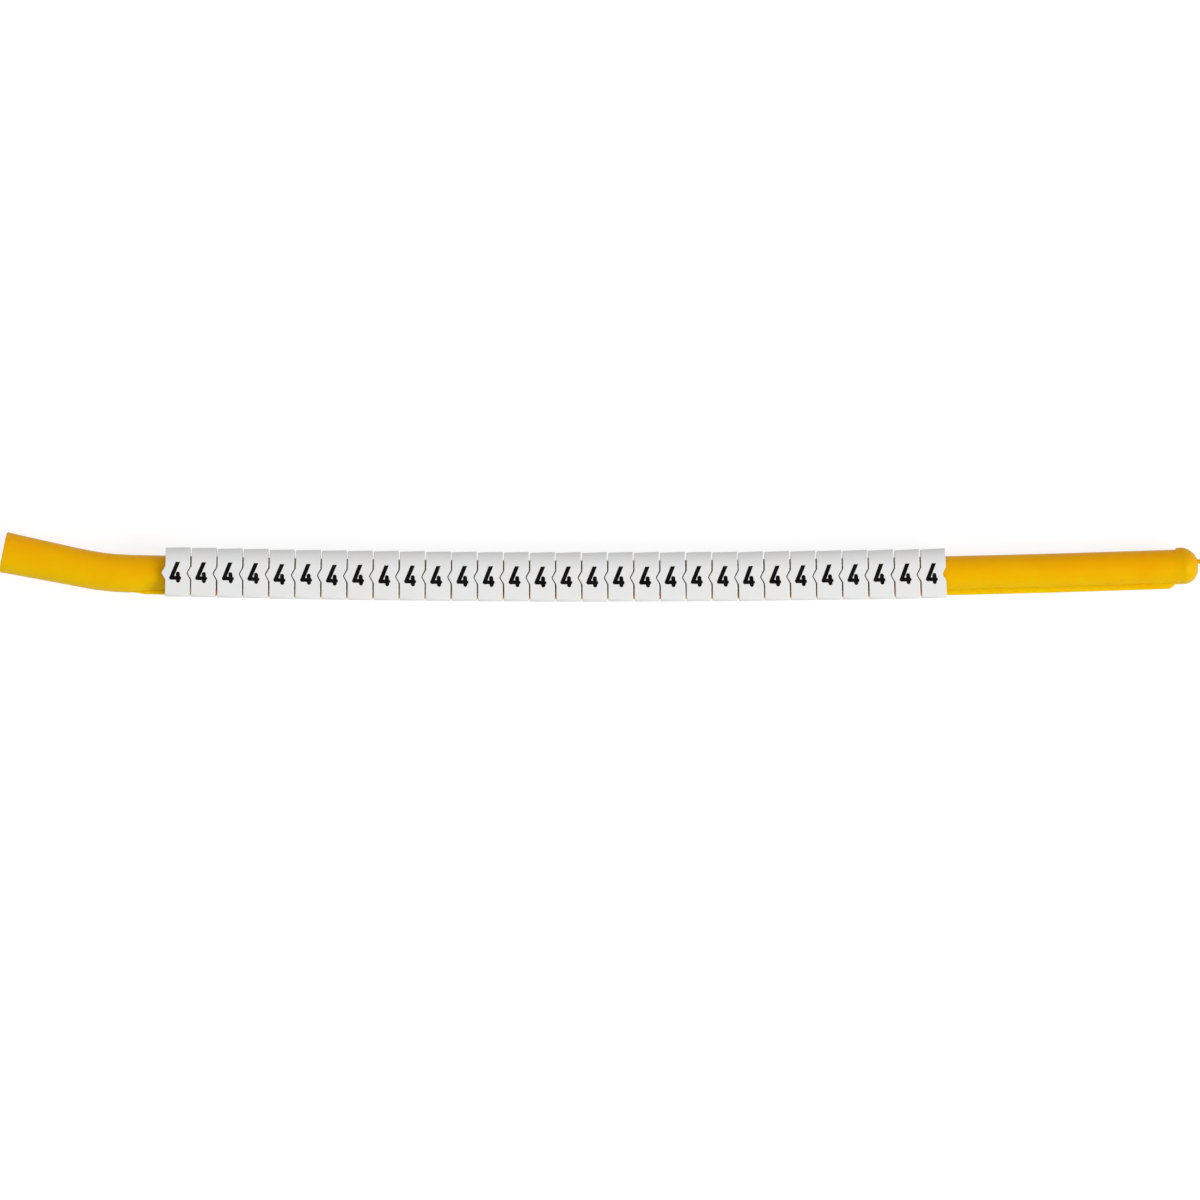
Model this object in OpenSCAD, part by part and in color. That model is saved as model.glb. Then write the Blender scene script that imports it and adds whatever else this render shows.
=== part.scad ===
// Wand of cable marker sleeves: a bowed, keyed rod that carries a row of clip-on sleeves.
// X runs along the wand towards its nose, Y points to the sleeves' spines and Z up to their printed faces.
// The origin lies under the middle of the row, on the plane that the sleeves rest on.

/* [Row] */
// Number of sleeves on the wand
sleeve_count = 30; // [2:1:40]
// Length of one sleeve between its straight end edges
sleeve_length = 3.8; // [3:0.05:6]
// Gap between two neighbouring sleeves
sleeve_gap = 0.2; // [0.15:0.05:1]

/* [Sleeve] */
// Wall of the spine, opposite the slot
spine_wall = 1.11; // [0.8:0.01:1.6]
// Wall of the two jaws, beside the slot
jaw_wall = 0.81; // [0.7:0.01:1.4]
// Wall between the bore and the printed face
face_wall = 0.85; // [0.7:0.05:1.6]
// Wall between the bore and the flat back
back_wall = 0.75; // [0.6:0.05:1.6]
// Taper of the spine, by which it is thinner at the end with the point
spine_taper = 0.12; // [0:0.01:0.25]
// Radius of the two long shoulders beside the spine
spine_round = 3.1; // [1:0.05:3.5]
// Radius of the two long shoulders beside the jaws
jaw_round = 0.8; // [0.4:0.05:1.5]
// Radius of the shallow crown across the printed face
crown_radius = 40; // [15:0.5:80]
// Distance of the crown's ridge from the bore's axis, towards the jaws
crown_offset = 0.8; // [0:0.1:1.5]
// Play between the slot and each face of the wand's fin
slot_play = 0.2; // [0.05:0.05:0.5]
// Chamfer that leads into the slot at its mouth
slot_lead = 0.3; // [0.1:0.05:0.5]
// Reach of the point at the end towards the tail
point_reach = 0.6; // [0.3:0.05:1]
// Depth of the notch at the other end
notch_depth = 0.55; // [0.3:0.05:1]
// Width of the point and of the notch
chevron_width = 2.1; // [1.4:0.1:3]

/* [Wand] */
// Diameter of the round body
body_diameter = 5.3; // [4.5:0.05:6]
// Play between the body and the bore of a sleeve, at the radius
bore_play = 0.2; // [0.08:0.01:0.3]
// Thickness of the fin that keys the sleeves
fin_thickness = 1.6; // [1:0.05:1.7]
// Reach of the fin past the round body
fin_reach = 0.7; // [0.4:0.05:0.8]
// Radius along the fin's two outer edges
fin_edge = 0.3; // [0.1:0.05:0.45]
// Radius of the wand's shallow bow
bow_radius = 2600; // [1200:100:6000]

/* [Nose] */
// Bare length between the last sleeve and the nose
handle_length = 35.4; // [15:0.1:60]
// Height of the nose's fine lip over the body
nose_lip = 0.05; // [0.02:0.01:0.3]
// Length of the nose
nose_length = 3.35; // [2.6:0.05:6]
// Height over the body of the round stop on the nose's spine side
stop_reach = 0.28; // [0.1:0.01:0.4]
// Radius of that stop
stop_radius = 2.2; // [1.6:0.05:2.4]
// Length of that stop, up to where it lies within the nose
stop_length = 2.9; // [2:0.05:3.2]
// Radius round the nose's end
nose_round = 2.3; // [0.5:0.1:2.4]
// Length of the ramp in which the fin ends at the nose
fin_ramp = 1.1; // [0.5:0.1:3]
// Diameter of the moulding gate's stub on the nose
gate_diameter = 0.7; // [0.4:0.1:1.2]
// Length of that stub
gate_length = 0.5; // [0.2:0.1:1]
// Height of that stub's axis beside the nose's own axis
gate_offset = 0.7; // [0:0.1:0.9]

/* [Tail] */
// Bare length between the first sleeve and the tail's bend
lead_length = 5.6; // [5:0.1:12]
// Length before the bend over which the fin falls
fin_fade = 2.6; // [1:0.1:4]
// Radius of the bend, at the wand's axis
bend_radius = 38.5; // [15:0.5:80]
// Angle of the bend
bend_angle = 10.2; // [2:0.2:30]
// Depth by which the tail is wider than the body, on the fin's side
tail_depth = 0.51; // [0.35:0.01:0.7]
// Length over which the body gains that depth, from under the first sleeve to the bend
depth_gain = 7.4; // [6:0.1:8]
// Flare of the tail from the bend to its end, on each side
tail_flare = 0.24; // [0.05:0.01:0.8]
// Length of the tail behind the bend
tail_length = 12.75; // [6:0.05:40]
// Chamfer round the tail's cut end
tail_chamfer = 0.15; // [0.05:0.05:0.5]

/* [Hidden] */
sleeve_names = [for (i = [1:sleeve_count]) str("sleeve_", i < 10 ? "0" : "", i)];

wand_colour = "#ebb405";
sleeve_colour = "#e6e6e3";

// Facets round a section, and to a full turn of the bend and of the bow's long arc
section_facets = 96;
bend_facets = 360;
bow_facets = 7200;
$fn = section_facets;
// Overlap that lets a cut pass right through its wall
through = 1;
// Depth to which one form is rooted in the next
rooted = 0.2;

// Shares of the play by which a sleeve lies skewed and off centre, and by which each differs.
// The row leans to the spines' side at the tail and to the fin's side at the nose.
skew_share = 0.03;
skew_spread = 0.09;
row_lean = 0.4;
shift_spread = 0.1;
settle_seed = 4;
settled_skews = rands(-1, 1, sleeve_count, settle_seed);
settled_shifts = rands(-1, 1, sleeve_count, settle_seed + 1);

body_radius = body_diameter / 2;
bore_radius = body_radius + bore_play;
axis_height = back_wall + bore_radius;
sleeve_height = axis_height + bore_radius + face_wall;
spine_y = bore_radius + spine_wall;
jaw_y = -bore_radius - jaw_wall;
sleeve_pitch = sleeve_length + sleeve_gap;
row_half = (sleeve_count * sleeve_pitch - sleeve_gap) / 2;
// Straight end of the wand between its bend and its bow, which starts under the first sleeve
straight_length = depth_gain + rooted;
bow_start = straight_length - row_half - lead_length;
bow_length = row_half + handle_length - bow_start;
nose_radius = body_radius + nose_lip;
// Depth of the rounded end under the gate's stub
gate_root = pow(gate_offset + gate_diameter / 2, 2) / (2 * nose_round);
tail_end_radius = body_radius + tail_flare;
slot_width = fin_thickness + 2 * slot_play;
// Depth that the taper takes off the spine at its thick end
spine_skim = 0.02;
// Distance by which the flat flanks of the tail lie under the crests of its round sides
flank_sink = 0.005;
// Distance by which the tail's round side ends inside the body
run_out_sink = 0.06;
// Share of the tail's depth at which the fin ends
fin_fall = 0.65;
// Radius of the stop's small flat end, inside the nose
stop_tip = 0.1;
// Distance from the wand's axis to the crease where the fin leaves the round body
crease = sqrt(pow(body_radius, 2) - pow(fin_thickness / 2, 2));

// Angle that a length along the bow turns through
function bow_turn(length) = length / bow_radius * 180 / PI;

// Distance of a sleeve's middle from the row's middle, along the bow
function sleeve_place(i) = (i - (sleeve_count + 1) / 2) * sleeve_pitch;

// Skew of a sleeve, by which its end edges use a share of the play
function sleeve_skew(i) =
    asin((skew_share + skew_spread * settled_skews[i - 1]) * bore_play / (sleeve_length / 2));

// Distance by which a sleeve lies off the wand's axis
function sleeve_shift(i) =
    (shift_spread * settled_shifts[i - 1] - row_lean * sleeve_place(i) / row_half) * bore_play;

// Places an upright child at a length along the bow, turned with it
module at_bow(length) {
    turn = bow_turn(length);
    translate([bow_radius * sin(turn), bow_radius * (1 - cos(turn)), 0])
        rotate(turn)
            children();
}

// Sweeps a section along the bow, from the end of the straight lead into the nose.
// The section's X points to the fin's side and its Y up.
module along_bow() {
    translate([0, bow_radius, axis_height])
        rotate_extrude(angle = bow_turn(bow_length + rooted), start = -90, $fn = bow_facets)
            translate([bow_radius, 0])
                let ($fn = section_facets)
                    children();
}

// Turns a child that stands on the XY plane so that it lies along X
module lay_along_x() {
    rotate([90, 0, 90])
        children();
}

// Rectangle with round corners, from one corner to the opposite one
module rounded_rectangle(low, high, radius) {
    size = high - low;
    translate([low[0] + radius, low[1]])
        square([size[0] - 2 * radius, size[1]]);
    translate([low[0], low[1] + radius])
        square([size[0], size[1] - 2 * radius]);
    for (x = [low[0] + radius, high[0] - radius], y = [low[1] + radius, high[1] - radius])
        translate([x, y])
            circle(radius);
}

// Section of the fin, from the wand's axis to its rounded outer edge
module fin_section(reach) {
    edge = body_radius + reach;
    translate([0, -fin_thickness / 2])
        square([edge - fin_edge, fin_thickness]);
    translate([0, fin_edge - fin_thickness / 2])
        square([edge, fin_thickness - 2 * fin_edge]);
    for (side = [-1, 1])
        translate([edge - fin_edge, side * (fin_thickness / 2 - fin_edge)])
            circle(fin_edge);
}

// Wedge that cuts the fin's outer edge along a ramp, between two points in plan
module fin_cut(from, to) {
    outside = -body_radius - fin_reach - through;
    beyond = sign(to[0] - from[0]) * through;
    translate([0, 0, axis_height - fin_thickness])
        linear_extrude(2 * fin_thickness)
            polygon([from, to, [to[0] + beyond, to[1]], [to[0] + beyond, outside], [from[0], outside]]);
}

// Fin along the bow, which ends in a short ramp at the nose
module bow_fin() {
    difference() {
        along_bow()
            fin_section(fin_reach);
        at_bow(bow_length)
            fin_cut([-fin_ramp, -body_radius - fin_reach], [0, -crease]);
    }
}

// Straight lead from the bend to the bow: the body, its fin that falls into the deeper tail,
// and the tail's round side, which grows out of the body towards the bend
module lead() {
    translate([0, 0, axis_height])
        lay_along_x()
            linear_extrude(straight_length)
                circle(body_radius);
    difference() {
        translate([0, 0, axis_height])
            lay_along_x()
                linear_extrude(straight_length)
                    mirror([1, 0])
                        fin_section(fin_reach);
        fin_cut([fin_fade, -body_radius - fin_reach], [0, -body_radius - fin_fall * tail_depth]);
    }
    translate([0, -tail_depth, axis_height])
        rotate([0, 90, 0])
            cylinder(depth_gain, body_radius, body_radius - tail_depth - run_out_sink);
}

// Bend of the deeper section, from the lead round to the tail
module bend() {
    flank = body_radius - flank_sink;
    translate([0, bend_radius, axis_height])
        rotate_extrude(angle = bend_angle, start = -90 - bend_angle, $fn = bend_facets)
            translate([bend_radius, 0])
                let ($fn = section_facets) {
                    circle(body_radius);
                    translate([tail_depth, 0])
                        circle(body_radius);
                    translate([0, -flank])
                        square([tail_depth, 2 * flank]);
                }
}

// Straight tail with two round sides and flat flanks, which flares to a chamfered end
module tail() {
    flank = body_radius - flank_sink;
    end_flank = tail_end_radius - flank_sink;
    shoulder = tail_chamfer - tail_length;
    for (y = [0, -tail_depth])
        translate([0, y, axis_height])
            rotate([0, -90, 0]) {
                cylinder(tail_length - tail_chamfer, body_radius, tail_end_radius);
                translate([0, 0, tail_length - tail_chamfer])
                    cylinder(tail_chamfer, tail_end_radius, tail_end_radius - tail_chamfer);
            }
    translate([0, 0, axis_height])
        rotate([90, 0, 0])
            linear_extrude(tail_depth)
                polygon([
                    [0, flank],
                    [shoulder, end_flank],
                    [-tail_length, end_flank - tail_chamfer],
                    [-tail_length, tail_chamfer - end_flank],
                    [shoulder, -end_flank],
                    [0, -flank]
                ]);
}

// Round body with a rounded end, which stands on the XY plane
module round_end(radius, length, round) {
    rotate_extrude()
        intersection() {
            rounded_rectangle([-radius, -length], [radius, length], round);
            square([radius, length]);
        }
}

// Nose with a rounded end, almost flush with the body, with a stop for the sleeves and the stub of its moulding gate
module nose() {
    translate([0, 0, axis_height])
        lay_along_x() {
            round_end(nose_radius, nose_length, nose_round);
            translate([body_radius + stop_reach - stop_radius, 0, 0])
                round_end(stop_radius, stop_length, stop_radius - stop_tip);
            translate([gate_offset, 0, nose_length - rooted - gate_root])
                cylinder(rooted + gate_root + gate_length, d = gate_diameter);
        }
}

// Solid moulded wand, built from where its bow meets its straight lead
module wand() {
    color(wand_colour)
        at_bow(bow_start) {
            along_bow()
                circle(body_radius);
            bow_fin();
            translate([-straight_length, 0, 0]) {
                lead();
                bend();
                translate([0, bend_radius, 0])
                    rotate(-bend_angle)
                        translate([0, -bend_radius, 0])
                            tail();
            }
            at_bow(bow_length)
                nose();
        }
}

// Section of a sleeve across the wand: a crowned block with a bore and a slot that opens at the jaws
module sleeve_section() {
    difference() {
        intersection() {
            rounded_rectangle([jaw_y - 2 * spine_round, 0], [spine_y, sleeve_height], spine_round);
            rounded_rectangle([jaw_y, 0], [spine_y + 2 * jaw_round, sleeve_height], jaw_round);
            translate([-crown_offset, sleeve_height - crown_radius])
                circle(crown_radius);
        }
        translate([0, axis_height])
            circle(bore_radius);
        translate([0, axis_height])
            slot_section();
    }
}

// Section of the slot, from the bore's axis out through the jaws
module slot_section() {
    half = slot_width / 2;
    mouth = half + slot_lead + through;
    polygon([
        [0, half],
        [jaw_y + slot_lead, half],
        [jaw_y - through, mouth],
        [jaw_y - through, -mouth],
        [jaw_y + slot_lead, -half],
        [0, -half]
    ]);
}

// Plan of a sleeve: a tapered spine, and a point at the tail's end that nests in the next sleeve's notch
module sleeve_plan() {
    half = sleeve_length / 2;
    half_point = chevron_width / 2;
    polygon([
        [-half, spine_y - spine_skim - spine_taper],
        [-half, half_point],
        [-half - point_reach, 0],
        [-half, -half_point],
        [-half, jaw_y - through],
        [half, jaw_y - through],
        [half, -half_point],
        [half - notch_depth, 0],
        [half, half_point],
        [half, spine_y - spine_skim]
    ]);
}

// Clip-on sleeve, numbered from the tail
module sleeve(i) {
    reach = sleeve_length + 2 * point_reach;
    color(sleeve_colour)
        at_bow(sleeve_place(i))
            translate([0, sleeve_shift(i), 0])
                rotate(sleeve_skew(i))
                    intersection() {
                        translate([-reach / 2, 0, 0])
                            lay_along_x()
                                linear_extrude(reach)
                                    sleeve_section();
                        translate([0, 0, -through])
                            linear_extrude(sleeve_height + 2 * through)
                                sleeve_plan();
                    }
}

wand();
for (i = [1:sleeve_count]) sleeve(i);
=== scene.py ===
"""Looks of the cable marker wand: a yellow moulded wand that carries a row of white clip-on sleeves.

Everything is in metres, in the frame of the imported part: X along the wand to its nose, Y to the sleeves' spines, Z up.
Values said to be in millimetres are those of the numeral's drawing and of the materials.
"""

import math
import random

import bmesh
import bpy
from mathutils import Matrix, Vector
from mathutils.geometry import delaunay_2d_cdt


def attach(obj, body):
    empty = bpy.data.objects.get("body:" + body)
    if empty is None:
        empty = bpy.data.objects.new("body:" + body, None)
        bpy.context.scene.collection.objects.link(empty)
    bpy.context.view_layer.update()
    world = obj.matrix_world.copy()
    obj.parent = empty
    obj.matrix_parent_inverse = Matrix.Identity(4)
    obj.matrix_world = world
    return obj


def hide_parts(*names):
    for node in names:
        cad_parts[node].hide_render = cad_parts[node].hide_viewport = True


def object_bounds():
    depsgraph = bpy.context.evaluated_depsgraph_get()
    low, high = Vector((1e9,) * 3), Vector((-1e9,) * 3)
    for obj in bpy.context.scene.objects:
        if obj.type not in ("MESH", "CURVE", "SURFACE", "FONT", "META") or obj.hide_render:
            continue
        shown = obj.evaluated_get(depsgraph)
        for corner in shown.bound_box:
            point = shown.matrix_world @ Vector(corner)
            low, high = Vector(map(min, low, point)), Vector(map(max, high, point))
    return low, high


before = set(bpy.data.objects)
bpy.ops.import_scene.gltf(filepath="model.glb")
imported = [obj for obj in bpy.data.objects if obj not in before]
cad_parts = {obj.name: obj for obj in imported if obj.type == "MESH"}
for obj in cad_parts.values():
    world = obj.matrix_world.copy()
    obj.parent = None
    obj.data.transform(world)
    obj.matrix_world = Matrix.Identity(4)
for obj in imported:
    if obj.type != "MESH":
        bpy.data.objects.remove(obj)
cad_low, cad_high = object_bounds()

MM = 0.001
PER_MM = 1000.0

# Picture: its width at the level of the sleeves' faces, the point at its middle, the wand's slight turn and the lens
PICTURE_WIDTH = 184.1 * MM
PICTURE_MIDDLE = (6.82 * MM, -3.42 * MM)
PICTURE_LEVEL = 7.0 * MM
PICTURE_TURN = math.radians(0.05)
LENS = 1000.0
SENSOR = 36.0
SIGHT_END = 20.0

# Copies of CAD meshes: how near points are one, how flat faces are one, which edges are sharp, how much large faces
# pull the normals
MERGE = 1e-8
FLAT_WITHIN = math.radians(0.4)
EDGE_FROM = math.radians(38)
FACE_PULL = 50

# Sleeves: their moulded edges, the reach of their flat jaws from the wand's middle, and how those are told
SLEEVE_EDGE = 0.11 * MM
SLEEVE_EDGE_STEPS = 3
JAW_REACH = 3.66 * MM
JAW_WITHIN = 0.3 * MM
JAW_FACING = 0.99

# Numeral, in millimetres: each stroke's ends, width and level of a flat top, and the steps of its outline and inside
NUMERAL_STROKES = (
    ((0.40, 1.53), (-0.555, -0.865), 0.62, 1.585),
    ((-0.575, -0.855), (0.685, -0.885), 0.60, None),
    ((0.445, -0.205), (0.495, -1.295), 0.62, None),
)
NUMERAL_STEP = 0.12
NUMERAL_STEPS_LEAST = 2
NUMERAL_ROUND_STEPS = 8
NUMERAL_INSIDE = (-0.25, 0, 0.25)
NUMERAL_MERGE = 1e-5
TRIANGLES = 0

# Print: the numeral's place on a sleeve, how it varies, the ink's body, and from where it is thrown down how far
NUMERAL_PLACE = (-0.37 * MM, 0.12 * MM)
NUMERAL_DRIFT = 0.05 * MM
NUMERAL_TILT = math.radians(1.2)
INK_BODY = 0.012 * MM
INK_SINK = 0.02 * MM
PRINT_ABOVE = 1.0 * MM
PRINT_THROW = 0.1
PRINT_SEED = 4

# Colours, linear
WHITE = (1, 1, 1, 1)
# Wand: the amber stands for painted shade towards the spines and the lemon for the lit side; mottle and flow bands also
# blend between them
WAND_AMBER_SHADE = (0.79, 0.37, 0.0, 1)
WAND_LEMON_LIT = (0.77, 0.515, 0.0, 1)
# Nose: the wand's pair painted darker, a painted shade that holds down the key light's brightness on the nose
NOSE_AMBER_SHADE = (0.67, 0.36, 0.0, 1)
NOSE_LEMON_SHADE = (0.67, 0.48, 0.0, 1)
WAND_DUST = (0.30, 0.14, 0.01, 1)
WAND_GLEAM = (1.0, 0.8, 0.08, 1)
SLEEVE_WHITE = (0.745, 0.745, 0.735, 1)
SLEEVE_WARM = (0.745, 0.735, 0.71, 1)
SLEEVE_COOL = (0.725, 0.735, 0.74, 1)
SLEEVE_DUST = (0.30, 0.28, 0.26, 1)
INK_BLACK = (0.002, 0.0015, 0.002, 1)
INK_WORN = (0.012, 0.011, 0.012, 1)
FLOOR_WHITE = (0.25, 0.25, 0.25, 1)

# Moulded skin: the grain's share in its height, where the unevenness shows as mottle, and the form of its scuffs
GRAIN_SHARE = 0.35
MOTTLE_RANGE = (0.32, 0.68)
SCUFF_STRETCH = (0.35, 3.0, 3.0)
SCUFF_SCALE = 1.7
SCUFF_RANGE = (0.56, 0.78)

# Dust: the random value of a cell from which it holds a speck
SPECK_RANGE = (0.80, 0.84)

# Wand's line in plan, in millimetres: its bow, and where its tail bends off and how steeply
BOW_RADIUS = 2600.0
TAIL_FROM = -68.95
TAIL_SLOPE = 0.18

# Wand's painted shade and colour, in millimetres: the sides between which it is painted darker and more amber towards
# the spines, by what shares, and what its mottle and bands add
LIT_SIDE = -3.3
SHADED_SIDE = 2.7
SHADE_AT_LIT_SIDE = 0.13
SHADE_AT_SHADED_SIDE = 1.03
DEPTH_BY_MOTTLE = -0.16
DEPTH_BY_BANDS = 0.18

# Wand's flow bands and the nose's painted shade, in millimetres along it: the bands' waves and how they waver, where
# both come up, and the share of painted shade on the nose
BAND_WAVES = 0.9
BAND_WAVER = 3.0
BAND_WAVER_SCALE = 0.22
BAND_RANGE = (70.0, 90.0)
NOSE_SHADE_RANGE = (94.6, 97.0)
NOSE_SHADE_SHARE = 0.9

# Sleeves' batches: the stretch, scale and range of the slow change from warm to cool, and the share of plain white
BATCH_STRETCH = (1.0, 0.05, 0.05)
BATCH_SCALE = 0.19
BATCH_RANGE = (0.35, 0.65)
PLAIN_SHARE = 0.3
PLAIN_BY_MOTTLE = 0.4

# Ink: how thin mottle makes it, its roughness and what a thin place adds to that
INK_THIN = 0.5
INK_ROUGHNESS = 0.5
INK_THIN_ROUGHNESS = 0.15

# Studio: the floor's half width and its gap under the part, the brightness round the horizon and the key light
FLOOR_HALF = 3.0
FLOOR_GAP = 0.02 * MM
WORLD_ABOVE = 0.66
WORLD_BELOW = 0.70
HORIZON_RANGE = (-0.4, 0.5)
KEY_PLACE = (2.25, -0.60, 1.89)
KEY_SIZE = 1.5
KEY_POWER = 63.0


# Node trees

def feed(tree, socket, value):
    """Links a socket to another one, or gives it a value."""
    if isinstance(value, bpy.types.NodeSocket):
        tree.links.new(value, socket)
    else:
        socket.default_value = value


def node(tree, kind, inputs=None, **settings):
    """Adds a node with its settings, and gives its named inputs values or links."""
    made = tree.nodes.new(kind)
    for name, value in settings.items():
        setattr(made, name, value)
    for name, value in (inputs or {}).items():
        feed(tree, made.inputs[name], value)
    return made


def result(tree, made, values):
    """Feeds a node's inputs in their order, and returns its first output."""
    for socket, value in zip(made.inputs, values):
        feed(tree, socket, value)
    return made.outputs[0]


def maths(tree, operation, *values):
    """A Math node on the values, which are sockets or numbers."""
    return result(tree, node(tree, "ShaderNodeMath", operation=operation), values)


def vectors(tree, operation, *values):
    """A Vector Math node on the values, which are sockets or vectors."""
    return result(tree, node(tree, "ShaderNodeVectorMath", operation=operation), values)


def ranged(tree, value, low, high, to_low=0.0, to_high=1.0):
    """Maps a value from one range to another, smoothly and clamped."""
    made = node(tree, "ShaderNodeMapRange", interpolation_type="SMOOTHSTEP")
    return result(tree, made, (value, low, high, to_low, to_high))


def blended(tree, share, first, second):
    """Mixes two colours by a share, through the Mix node's sockets for colours."""
    made = node(tree, "ShaderNodeMix", data_type="RGBA")
    for index, value in ((0, share), (6, first), (7, second)):
        feed(tree, made.inputs[index], value)
    return made.outputs[2]


def noise(tree, position, scale, detail, roughness=0.5):
    """Noise over a position in millimetres, with a scale in waves to the millimetre."""
    return node(tree, "ShaderNodeTexNoise", {
        "Vector": position, "Scale": scale, "Detail": detail, "Roughness": roughness}).outputs[0]


def new_group(name, kind, inputs, outputs):
    """A node group, its inputs and its outputs, which are given as socket types by their names."""
    group = bpy.data.node_groups.new(name, kind)
    for way, sockets in (("INPUT", inputs), ("OUTPUT", outputs)):
        for title, socket_type in sockets.items():
            group.interface.new_socket(title, in_out=way, socket_type=socket_type)
    return group, group.nodes.new("NodeGroupInput").outputs, group.nodes.new("NodeGroupOutput").inputs


def use_group(tree, group, inputs):
    """Places a shader group, and returns its outputs."""
    return node(tree, "ShaderNodeGroup", inputs, node_tree=group).outputs


# Effects that the materials share

def moulded_skin():
    """Skin of a moulding: the fine grain of the tool, a slow unevenness and faint rubbed marks."""
    group, given, made = new_group(
        "moulded_skin", "ShaderNodeTree",
        {"Position": "NodeSocketVector", "Grain": "NodeSocketFloat", "Unevenness": "NodeSocketFloat",
         "Marks": "NodeSocketFloat"},
        {"Height": "NodeSocketFloat", "Mottle": "NodeSocketFloat", "Rubbed": "NodeSocketFloat"})
    grain = noise(group, given["Position"], given["Grain"], detail=3.0, roughness=0.6)
    slow = noise(group, given["Position"], given["Unevenness"], detail=2.0, roughness=0.45)
    feed(group, made["Height"], maths(group, "ADD", maths(group, "MULTIPLY", grain, GRAIN_SHARE), slow))
    feed(group, made["Mottle"], ranged(group, slow, *MOTTLE_RANGE))
    along = vectors(group, "MULTIPLY", given["Position"], SCUFF_STRETCH)
    scuff = noise(group, along, SCUFF_SCALE, detail=4.0, roughness=0.7)
    feed(group, made["Rubbed"], maths(group, "MULTIPLY", ranged(group, scuff, *SCUFF_RANGE), given["Marks"]))
    return group


def inclusions():
    """Sparse dark specks of dust that lie in the plastic's skin."""
    group, given, made = new_group(
        "inclusions", "ShaderNodeTree",
        {"Position": "NodeSocketVector", "Spacing": "NodeSocketFloat", "Size": "NodeSocketFloat"},
        {"Speck": "NodeSocketFloat"})
    cells = node(group, "ShaderNodeTexVoronoi", {
        "Vector": given["Position"], "Scale": maths(group, "DIVIDE", 1.0, given["Spacing"]), "Randomness": 1.0}).outputs
    pick = node(group, "ShaderNodeSeparateColor", {"Color": cells["Color"]}).outputs[0]
    reach = maths(group, "DIVIDE", given["Size"], given["Spacing"])
    near = ranged(group, cells["Distance"], reach, 0.0)
    feed(group, made["Speck"], maths(group, "MULTIPLY", near, ranged(group, pick, *SPECK_RANGE)))
    return group


MOULDED_SKIN = moulded_skin()
INCLUSIONS = inclusions()


def new_material(name):
    """A material with its node tree, its Principled shader's inputs and its position in millimetres."""
    made = bpy.data.materials.new(name)
    made.use_nodes = True
    tree = made.node_tree
    tree.nodes.clear()
    shader = tree.nodes.new("ShaderNodeBsdfPrincipled")
    output = tree.nodes.new("ShaderNodeOutputMaterial")
    tree.links.new(shader.outputs[0], output.inputs[0])
    place = tree.nodes.new("ShaderNodeTexCoord").outputs["Object"]
    position = vectors(tree, "MULTIPLY", place, (PER_MM, PER_MM, PER_MM))
    return made, tree, shader.inputs, position


def dusted(tree, position, colour, dust, share, spacing, size):
    """A colour with a share of dust where specks of a size lie, in cells of a spacing, in millimetres."""
    specks = use_group(tree, INCLUSIONS, {"Position": position, "Spacing": spacing, "Size": size})
    return blended(tree, maths(tree, "MULTIPLY", specks["Speck"], share), colour, dust)


def worn_roughness(tree, skin, plain, mottled, rubbed):
    """A plain skin's roughness, with what its mottle and its rubbed marks add."""
    rough = maths(tree, "MULTIPLY_ADD", skin["Mottle"], mottled, plain)
    return maths(tree, "MULTIPLY_ADD", skin["Rubbed"], rubbed, rough)


def bumped(tree, skin, distance):
    """A normal from a skin's height, where a height of one stands for the distance in metres."""
    return node(tree, "ShaderNodeBump", {
        "Height": skin["Height"], "Strength": 1.0, "Distance": distance}).outputs[0]


# Materials

def across_wand(tree, position):
    """Distance from the wand's middle line towards the sleeves' spines, in millimetres."""
    parts = node(tree, "ShaderNodeSeparateXYZ", {"Vector": position}).outputs
    bow = maths(tree, "DIVIDE", maths(tree, "MULTIPLY", parts[0], parts[0]), 2 * BOW_RADIUS)
    past = maths(tree, "MAXIMUM", maths(tree, "SUBTRACT", TAIL_FROM, parts[0]), 0.0)
    line = maths(tree, "MULTIPLY_ADD", past, TAIL_SLOPE, bow)
    return maths(tree, "SUBTRACT", parts[1], line)


def flow_bands(tree, position, along):
    """Wavering bands across the wand, which come up towards its nose."""
    waver = maths(tree, "MULTIPLY", noise(tree, position, BAND_WAVER_SCALE, detail=1.0), BAND_WAVER)
    band = maths(tree, "SINE", maths(tree, "MULTIPLY_ADD", along, BAND_WAVES, waver))
    return maths(tree, "MULTIPLY", ranged(tree, band, -1.0, 1.0), ranged(tree, along, *BAND_RANGE))


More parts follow.
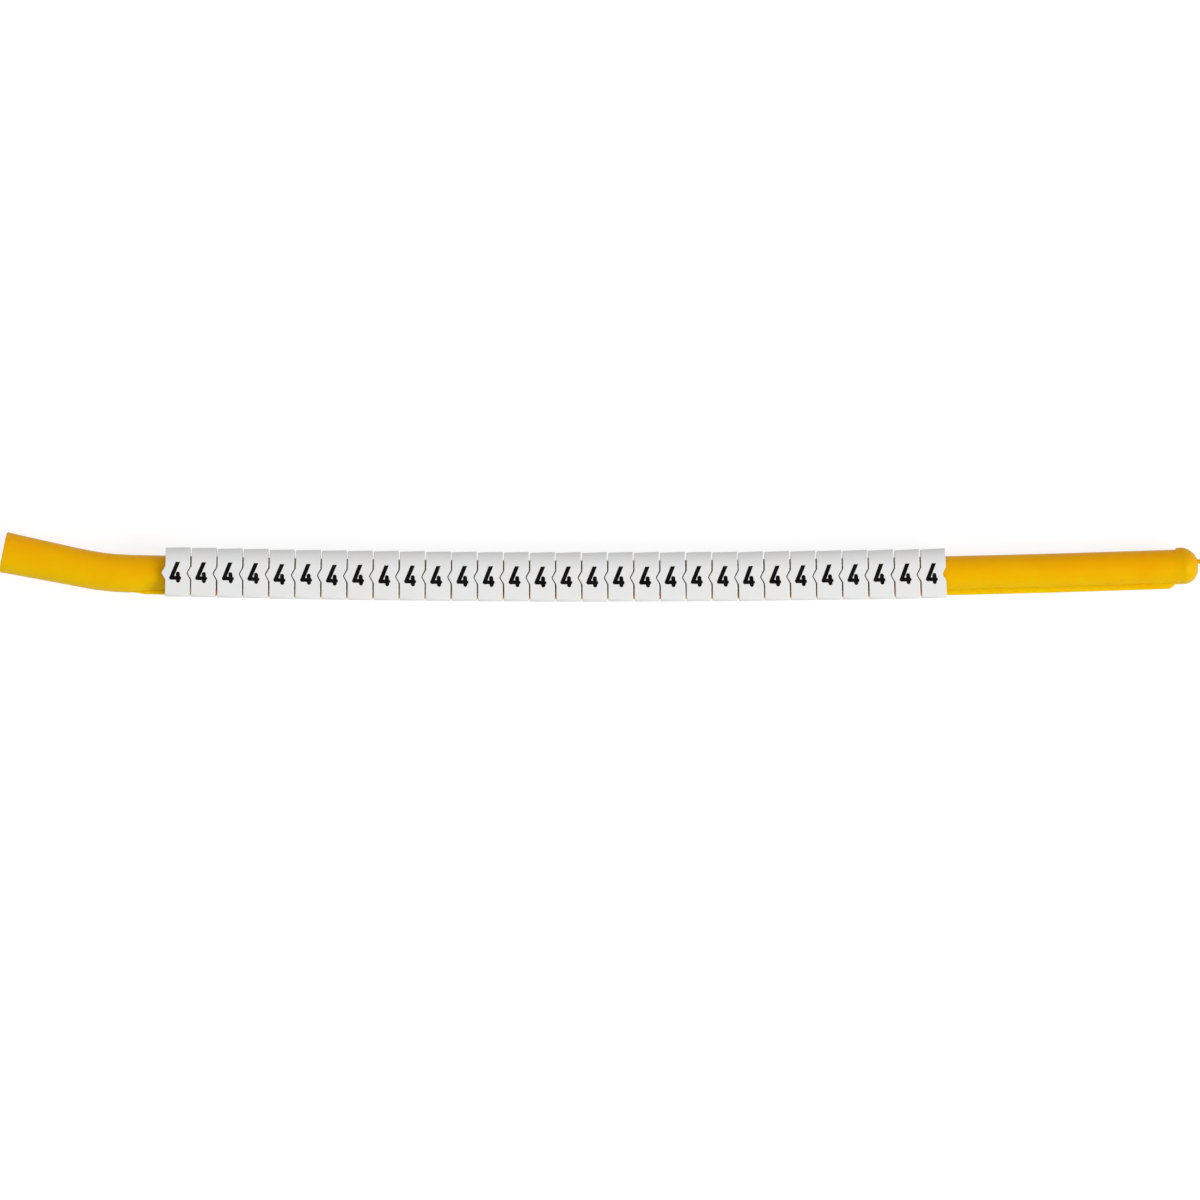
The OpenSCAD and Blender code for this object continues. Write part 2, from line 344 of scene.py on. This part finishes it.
def yellow_plastic():
    """Wand: yellow plastic with painted shade, darker and more amber towards the spines, with faint flow bands and a
    nose painted darker as shade.
    """
    made, tree, shader, position = new_material("wand_yellow_plastic")
    skin = use_group(tree, MOULDED_SKIN, {"Position": position, "Grain": 7.0, "Unevenness": 0.16, "Marks": 0.5})
    along = node(tree, "ShaderNodeSeparateXYZ", {"Vector": position}).outputs[0]
    # Painted shade: the colour is made darker and more amber towards the spines; mottle and flow bands add real tone to
    # the same share
    shade_and_depth = node(tree, "ShaderNodeMapRange", {
        "Value": across_wand(tree, position), "From Min": LIT_SIDE, "From Max": SHADED_SIDE,
        "To Min": SHADE_AT_LIT_SIDE, "To Max": SHADE_AT_SHADED_SIDE}).outputs[0]
    shade_and_depth = maths(tree, "MULTIPLY_ADD", skin["Mottle"], DEPTH_BY_MOTTLE, shade_and_depth)
    shade_and_depth = maths(tree, "MULTIPLY_ADD", flow_bands(tree, position, along), DEPTH_BY_BANDS, shade_and_depth)
    colour = blended(tree, shade_and_depth, WAND_LEMON_LIT, WAND_AMBER_SHADE)
    # Painted shade: the nose is painted darker than the rest of the wand
    nose_shade_colour = blended(tree, shade_and_depth, NOSE_LEMON_SHADE, NOSE_AMBER_SHADE)
    colour = blended(tree, ranged(tree, along, *NOSE_SHADE_RANGE, to_high=NOSE_SHADE_SHARE), colour, nose_shade_colour)
    colour = dusted(tree, position, colour, WAND_DUST, share=0.35, spacing=7.0, size=0.22)
    feed(tree, shader["Base Color"], colour)
    feed(tree, shader["Roughness"], worn_roughness(tree, skin, plain=0.40, mottled=0.06, rubbed=0.12))
    shader["Specular IOR Level"].default_value = 0.3
    shader["Specular Tint"].default_value = WAND_GLEAM
    shader["Subsurface Weight"].default_value = 0.8
    shader["Subsurface Radius"].default_value = (1.0, 0.25, 0.02)
    shader["Subsurface Scale"].default_value = 2.5 * MM
    feed(tree, shader["Normal"], bumped(tree, skin, distance=0.006 * MM))
    return made


def white_plastic():
    """Sleeves: satin white plastic that grows a trace warmer and cooler along the row."""
    made, tree, shader, position = new_material("sleeve_white_plastic")
    skin = use_group(tree, MOULDED_SKIN, {"Position": position, "Grain": 9.0, "Unevenness": 0.45, "Marks": 0.6})
    batch = noise(tree, vectors(tree, "MULTIPLY", position, BATCH_STRETCH), BATCH_SCALE, detail=0.0)
    colour = blended(tree, ranged(tree, batch, *BATCH_RANGE), SLEEVE_WARM, SLEEVE_COOL)
    plain = maths(tree, "MULTIPLY_ADD", skin["Mottle"], PLAIN_BY_MOTTLE, PLAIN_SHARE)
    colour = blended(tree, plain, colour, SLEEVE_WHITE)
    colour = dusted(tree, position, colour, SLEEVE_DUST, share=0.3, spacing=4.5, size=0.09)
    feed(tree, shader["Base Color"], colour)
    feed(tree, shader["Roughness"], worn_roughness(tree, skin, plain=0.36, mottled=0.08, rubbed=0.14))
    shader["Specular IOR Level"].default_value = 0.4
    feed(tree, shader["Normal"], bumped(tree, skin, distance=0.008 * MM))
    return made


def printing_ink():
    """Numerals: dense black printing ink, a little thin in places."""
    made, tree, shader, position = new_material("printing_ink")
    skin = use_group(tree, MOULDED_SKIN, {"Position": position, "Grain": 14.0, "Unevenness": 1.6, "Marks": 0.4})
    thin = maths(tree, "MAXIMUM", maths(tree, "MULTIPLY", skin["Mottle"], INK_THIN), skin["Rubbed"])
    feed(tree, shader["Base Color"], blended(tree, thin, INK_BLACK, INK_WORN))
    feed(tree, shader["Roughness"], maths(tree, "MULTIPLY_ADD", thin, INK_THIN_ROUGHNESS, INK_ROUGHNESS))
    shader["Specular IOR Level"].default_value = 0.04
    feed(tree, shader["Normal"], bumped(tree, skin, distance=0.004 * MM))
    return made


# Pieces from CAD nodes

def linked(name, data):
    """A new object of a mesh, light or camera, in the scene."""
    made = bpy.data.objects.new(name, data)
    bpy.context.scene.collection.objects.link(made)
    return made


def settled_mesh(holder):
    """The mesh that an object's modifiers give."""
    bpy.context.view_layer.update()
    graph = bpy.context.evaluated_depsgraph_get()
    return bpy.data.meshes.new_from_object(holder.evaluated_get(graph))


def smooth_mesh(cad_node, material, flat_within=None):
    """A smooth copy of a CAD node's mesh, without normals of its own.

    Faces that lie flat within an angle are merged, where one is given.
    """
    mesh = cad_node.data.copy()
    for attribute in ("custom_normal", "sharp_edge", "sharp_face"):
        if attribute in mesh.attributes:
            mesh.attributes.remove(mesh.attributes[attribute])
    shape = bmesh.new()
    shape.from_mesh(mesh)
    bmesh.ops.remove_doubles(shape, verts=shape.verts, dist=MERGE)
    if flat_within:
        bmesh.ops.dissolve_limit(shape, angle_limit=flat_within, verts=shape.verts, edges=shape.edges)
    for face in shape.faces:
        face.smooth = True
    shape.to_mesh(mesh)
    shape.free()
    mesh.materials.clear()
    mesh.materials.append(material)
    return mesh


def even_piece(name, mesh, edge=None):
    """A piece of a smooth mesh with even normals: its sharp edges stay sharp, or get radii of a given width."""
    holder = linked(name + "_holder", mesh)
    if edge:
        bevel = holder.modifiers.new("moulded_edges", "BEVEL")
        bevel.width = edge
        bevel.segments = SLEEVE_EDGE_STEPS
        bevel.limit_method = "ANGLE"
        bevel.angle_limit = EDGE_FROM
        bevel.use_clamp_overlap = True
    else:
        mesh.set_sharp_from_angle(angle=EDGE_FROM)
    weighted = holder.modifiers.new("flat_faces", "WEIGHTED_NORMAL")
    weighted.mode = "FACE_AREA"
    weighted.weight = FACE_PULL
    weighted.keep_sharp = True
    made = linked(name, settled_mesh(holder))
    made.data.name = name
    bpy.data.objects.remove(holder)
    return made


# Numerals

def steps_over(length):
    """The number of steps over a length of a stroke."""
    return max(NUMERAL_STEPS_LEAST, round(length / NUMERAL_STEP))


def stroke_line(start, end):
    """A stroke's ends, its direction, the direction to its side and the number of steps along it."""
    start, end = Vector(start), Vector(end)
    along = (end - start).normalized()
    return start, end, along, Vector((-along.y, along.x)), steps_over((end - start).length)


def stroke_outline(start, end, width, level):
    """Outline of one stroke as points in order, with round ends, or with its start cut flat at a level."""
    start, end, along, side, steps = stroke_line(start, end)
    reach = side * (width / 2)
    first, last = start - reach, start + reach
    if level is not None:
        first += along * ((level - first.y) / along.y)
        last += along * ((level - last.y) / along.y)
    turns = [math.pi * k / NUMERAL_ROUND_STEPS for k in range(1, NUMERAL_ROUND_STEPS)]
    points = [first.lerp(end - reach, k / steps) for k in range(steps + 1)]
    points += [end + along * (math.sin(turn) * width / 2) - reach * math.cos(turn) for turn in turns]
    points += [(end + reach).lerp(last, k / steps) for k in range(steps + 1)]
    if level is None:
        points += [start - along * (math.sin(turn) * width / 2) + reach * math.cos(turn) for turn in turns]
    else:
        across = steps_over(width)
        points += [last.lerp(first, k / across) for k in range(1, across)]
    return points


def stroke_inside(start, end, width):
    """Points inside one stroke, which let it follow a curved face."""
    start, end, _, side, steps = stroke_line(start, end)
    return [start.lerp(end, k / steps) + side * (width * share) for k in range(1, steps) for share in NUMERAL_INSIDE]


def numeral_mesh():
    """Flat numeral of overlapping strokes, merged into one sheet of triangles."""
    points, loops = [], []
    for stroke in NUMERAL_STROKES:
        outline = stroke_outline(*stroke)
        loops.append(list(range(len(points), len(points) + len(outline))))
        points += outline
    for start, end, width, _ in NUMERAL_STROKES:
        points += stroke_inside(start, end, width)
    corners, _, faces, _, _, strokes_of = delaunay_2d_cdt(points, [], loops, TRIANGLES, NUMERAL_MERGE)
    inked = [face for face, strokes in zip(faces, strokes_of) if strokes]
    mesh = bpy.data.meshes.new("numeral")
    mesh.from_pydata([(corner.x * MM, corner.y * MM, 0) for corner in corners], [], inked)
    mesh.update()
    return mesh


def print_tree():
    """Geometry Nodes that lay a flat numeral on a sleeve's crowned face, as a thin closed body of ink."""
    tree, given, made = new_group(
        "print_numeral", "GeometryNodeTree",
        {"Numeral": "NodeSocketObject", "Sleeve": "NodeSocketObject", "Place": "NodeSocketVector",
         "Turn": "NodeSocketFloat", "Ink Body": "NodeSocketFloat", "Ink Sink": "NodeSocketFloat",
         "Ink": "NodeSocketMaterial"},
        {"Geometry": "NodeSocketGeometry"})
    flat = node(tree, "GeometryNodeObjectInfo", {"Object": given["Numeral"]}).outputs["Geometry"]
    face = node(tree, "GeometryNodeObjectInfo", {"Object": given["Sleeve"]}).outputs["Geometry"]
    turn = node(tree, "ShaderNodeCombineXYZ", {"Z": given["Turn"]}).outputs[0]
    placed = node(tree, "GeometryNodeTransform", {
        "Geometry": flat, "Translation": given["Place"], "Rotation": turn}).outputs[0]
    hit = node(tree, "GeometryNodeRaycast", {
        "Target Geometry": face, "Ray Direction": (0, 0, -1), "Ray Length": PRINT_THROW})
    sink = node(tree, "ShaderNodeCombineXYZ", {"Z": maths(tree, "MULTIPLY", given["Ink Sink"], -1.0)}).outputs[0]
    laid = node(tree, "GeometryNodeSetPosition", {
        "Geometry": placed, "Position": vectors(tree, "ADD", hit.outputs["Hit Position"], sink)}).outputs[0]
    body = node(tree, "GeometryNodeExtrudeMesh", {
        "Mesh": laid, "Offset": (0, 0, 1), "Offset Scale": maths(tree, "ADD", given["Ink Sink"], given["Ink Body"]),
        "Individual": False})
    under = node(tree, "GeometryNodeFlipFaces", {"Mesh": laid}).outputs[0]
    joined = node(tree, "GeometryNodeJoinGeometry")
    tree.links.new(body.outputs["Mesh"], joined.inputs[0])
    tree.links.new(under, joined.inputs[0])
    closed = node(tree, "GeometryNodeMergeByDistance", {"Geometry": joined.outputs[0], "Distance": MERGE}).outputs[0]
    real = node(tree, "GeometryNodeRealizeInstances", {"Geometry": closed}).outputs[0]
    feed(tree, made["Geometry"], node(tree, "GeometryNodeSetMaterial", {
        "Geometry": real, "Material": given["Ink"]}).outputs[0])
    return tree


def set_inputs(modifier, tree, values):
    """Sets a modifier's named inputs by their identifiers."""
    names = {item.name: item.identifier for item in tree.interface.items_tree if item.in_out == "INPUT"}
    for name, value in values.items():
        modifier[names[name]] = value


def printed_numeral(name, tree, values):
    """The numeral on one sleeve as a plain piece."""
    holder = linked(name + "_holder", bpy.data.meshes.new(name + "_holder"))
    modifier = holder.modifiers.new("print", "NODES")
    modifier.node_group = tree
    set_inputs(modifier, tree, values)
    mesh = settled_mesh(holder)
    bpy.data.objects.remove(holder)
    mesh.name = name
    return linked(name, mesh)


# Wand and sleeves

def seat_of(cad_node):
    """Where a sleeve's flat jaws have their middle, and its turn."""
    outside = min(vertex.co.y for vertex in cad_node.data.vertices) + JAW_WITHIN
    facing = Vector((0, 0, 0))
    middle = Vector((0, 0, 0))
    area = 0.0
    for face in cad_node.data.polygons:
        if face.normal.y < -JAW_FACING and face.center.y < outside:
            facing += face.normal * face.area
            middle += face.center * face.area
            area += face.area
    return middle / area, math.atan2(facing.x, -facing.y)


def dress_wand():
    """Gives the wand its plastic and even normals."""
    wand = even_piece("smooth_wand", smooth_mesh(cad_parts["wand"], yellow_plastic()))
    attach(wand, "wand")
    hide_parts("wand")


def dress_sleeves():
    """Gives every sleeve its moulded edges, its plastic and its printed numeral."""
    plastic, ink = white_plastic(), printing_ink()
    master = linked("numeral_master", numeral_mesh())
    tree = print_tree()
    draw = random.Random(PRINT_SEED)
    names = sorted(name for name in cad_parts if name.startswith("sleeve_"))
    for name in names:
        cad_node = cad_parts[name]
        sleeve = even_piece("soft_" + name, smooth_mesh(cad_node, plastic, FLAT_WITHIN), SLEEVE_EDGE)
        middle, turn = seat_of(cad_node)
        across = Vector((-math.sin(turn), math.cos(turn)))
        along = Vector((math.cos(turn), math.sin(turn)))
        x = NUMERAL_PLACE[0] + draw.uniform(-1, 1) * NUMERAL_DRIFT
        y = NUMERAL_PLACE[1] + draw.uniform(-1, 1) * NUMERAL_DRIFT
        place = Vector((middle.x, middle.y)) + along * x + across * (y + JAW_REACH)
        numeral = printed_numeral("numeral_" + name[-2:], tree, {
            "Numeral": master, "Sleeve": sleeve, "Place": (place.x, place.y, cad_high.z + PRINT_ABOVE),
            "Turn": turn + draw.uniform(-1, 1) * NUMERAL_TILT,
            "Ink Body": INK_BODY, "Ink Sink": INK_SINK, "Ink": ink})
        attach(sleeve, name)
        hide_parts(name)
        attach(numeral, name)
    bpy.data.objects.remove(master)


# Studio

def floor():
    """Plain white floor, lit a little from within as a light table is."""
    made = bpy.data.materials.new("floor_white")
    made.use_nodes = True
    shader = made.node_tree.nodes["Principled BSDF"].inputs
    shader["Base Color"].default_value = FLOOR_WHITE
    shader["Roughness"].default_value = 0.9
    shader["Specular IOR Level"].default_value = 0.0
    shader["Emission Color"].default_value = WHITE
    shader["Emission Strength"].default_value = 0.78
    half, level = FLOOR_HALF, cad_low.z - FLOOR_GAP
    mesh = bpy.data.meshes.new("floor")
    mesh.from_pydata([(-half, -half, level), (half, -half, level), (half, half, level), (-half, half, level)],
                     [], [(0, 1, 2, 3)])
    mesh.materials.append(made)
    made_floor = linked("floor", mesh)
    made_floor.visible_diffuse = False
    made_floor.visible_glossy = False


def key_light():
    """A square soft light from the nose's side, which faces the row's middle."""
    data = bpy.data.lights.new("key_light", "AREA")
    data.size = KEY_SIZE
    data.energy = KEY_POWER
    made = linked("key_light", data)
    made.location = KEY_PLACE
    made.rotation_euler = (-Vector(KEY_PLACE)).to_track_quat("-Z", "Y").to_euler()


def studio():
    """Soft light from all round with the key light, shown without a film's curve."""
    world = bpy.data.worlds.new("studio")
    world.use_nodes = True
    tree = world.node_tree
    background = tree.nodes["Background"].inputs
    background["Color"].default_value = WHITE
    way = tree.nodes.new("ShaderNodeTexCoord").outputs["Generated"]
    height = node(tree, "ShaderNodeSeparateXYZ", {"Vector": way}).outputs[2]
    feed(tree, background["Strength"], ranged(tree, height, *HORIZON_RANGE, WORLD_BELOW, WORLD_ABOVE))
    bpy.context.scene.world = world
    key_light()
    bpy.context.scene.view_settings.view_transform = "Standard"


def camera():
    """Camera straight above the wand, with the wand's nose to the right."""
    data = bpy.data.cameras.new("camera")
    data.lens = LENS
    data.sensor_width = SENSOR
    data.clip_end = SIGHT_END
    made = linked("camera", data)
    reach = PICTURE_WIDTH * LENS / SENSOR
    made.location = (PICTURE_MIDDLE[0], PICTURE_MIDDLE[1], PICTURE_LEVEL + reach)
    made.rotation_euler = (0, 0, PICTURE_TURN)
    bpy.context.scene.camera = made


camera()
dress_wand()
dress_sleeves()
floor()
studio()
